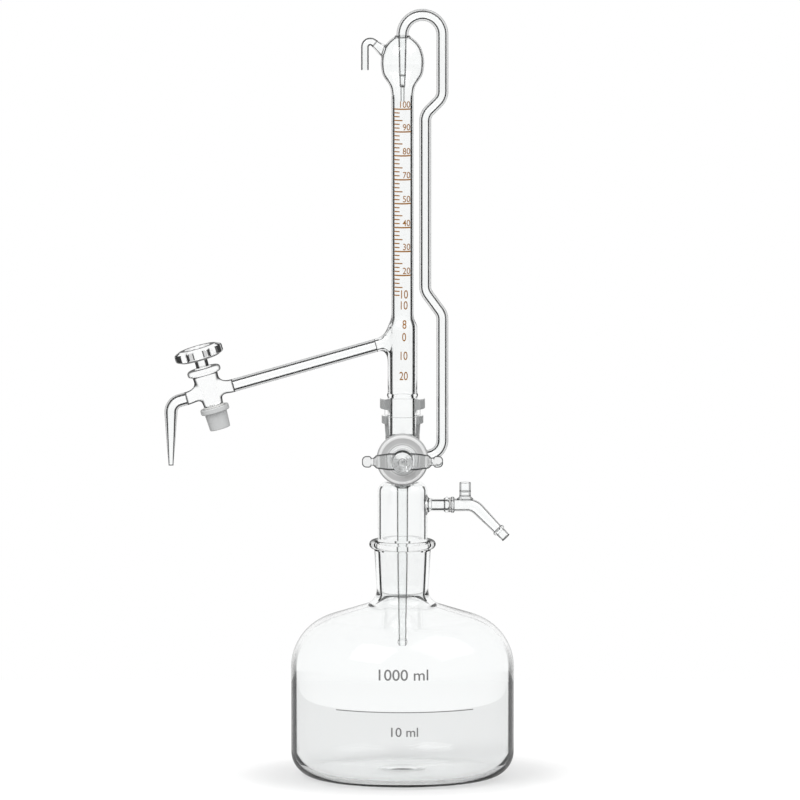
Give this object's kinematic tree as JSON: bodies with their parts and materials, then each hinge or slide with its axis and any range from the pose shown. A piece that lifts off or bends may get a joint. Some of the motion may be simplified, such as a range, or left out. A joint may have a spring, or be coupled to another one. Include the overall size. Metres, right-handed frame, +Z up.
{
  "type": "automatic burette",
  "caption": "Clear glass automatic burette: squat reservoir bottle, ground-in head with stopcock, graduated column with overflow bulb, side filling tube and sloping delivery arm with stopcock.",
  "frame": {"origin": "centre of the bottle's base, on the plane it stands on", "axes": "+Z up along the column, +X towards the air connector, -Y towards the wing handle of the main stopcock"},
  "size_m": [0.2092, 0.1326, 0.4631],
  "materials": {
    "clear_glass": "clear, fire-polished",
    "frosted_glass": "ground, frosted",
    "grey_plastic": "moulded, satin",
    "frosted_plastic": "moulded, milky",
    "soft_white": "soft, smooth",
    "black_rubber": "matt"
  },
  "bodies": {
    "bottle": {"bottle": "clear_glass"},
    "head": {"head_chamber": "clear_glass", "air_port": "clear_glass", "dip_tube": "clear_glass", "main_barrel": "clear_glass", "foot_socket": "frosted_glass", "joint_clip": "grey_plastic", "burette_tube": "clear_glass", "overflow_bulb": "clear_glass", "fill_jet": "clear_glass", "vent_stub": "clear_glass", "vent_elbow": "clear_glass", "fill_tube": "clear_glass", "delivery_arm": "clear_glass", "arm_barrel": "clear_glass", "delivery_tip": "clear_glass", "coupling_washer": "soft_white"},
    "main_plug": {"main_plug": "frosted_glass", "main_handle": "clear_glass", "main_washer": "soft_white", "main_o_ring": "black_rubber", "main_nut": "frosted_plastic"},
    "arm_plug": {"arm_plug": "clear_glass", "arm_knob": "clear_glass", "arm_washer": "soft_white", "arm_o_ring": "black_rubber", "arm_nut": "frosted_plastic"},
    "connector": {"air_connector": "clear_glass", "vent_pipe": "clear_glass", "hose_end": "clear_glass"}
  },
  "joints": [
    {"name": "head_lift", "type": "slide", "parent": "bottle", "child": "head", "axis": [0, 0, 1], "range_m": [0, 0.07]},
    {"name": "main_tap", "type": "hinge", "parent": "head", "child": "main_plug", "pos_m": [0, 0, 0.19352], "axis": [0, 1, 0], "continuous": true},
    {"name": "arm_tap", "type": "hinge", "parent": "head", "child": "arm_plug", "pos_m": [-0.11556, 0, 0.23212], "axis": [-0.2723, 0, 0.9622], "continuous": true},
    {"name": "connector_swivel", "type": "hinge", "parent": "head", "child": "connector", "pos_m": [0.0288, 0, 0.16392], "axis": [1, 0, 0], "continuous": true}
  ]
}
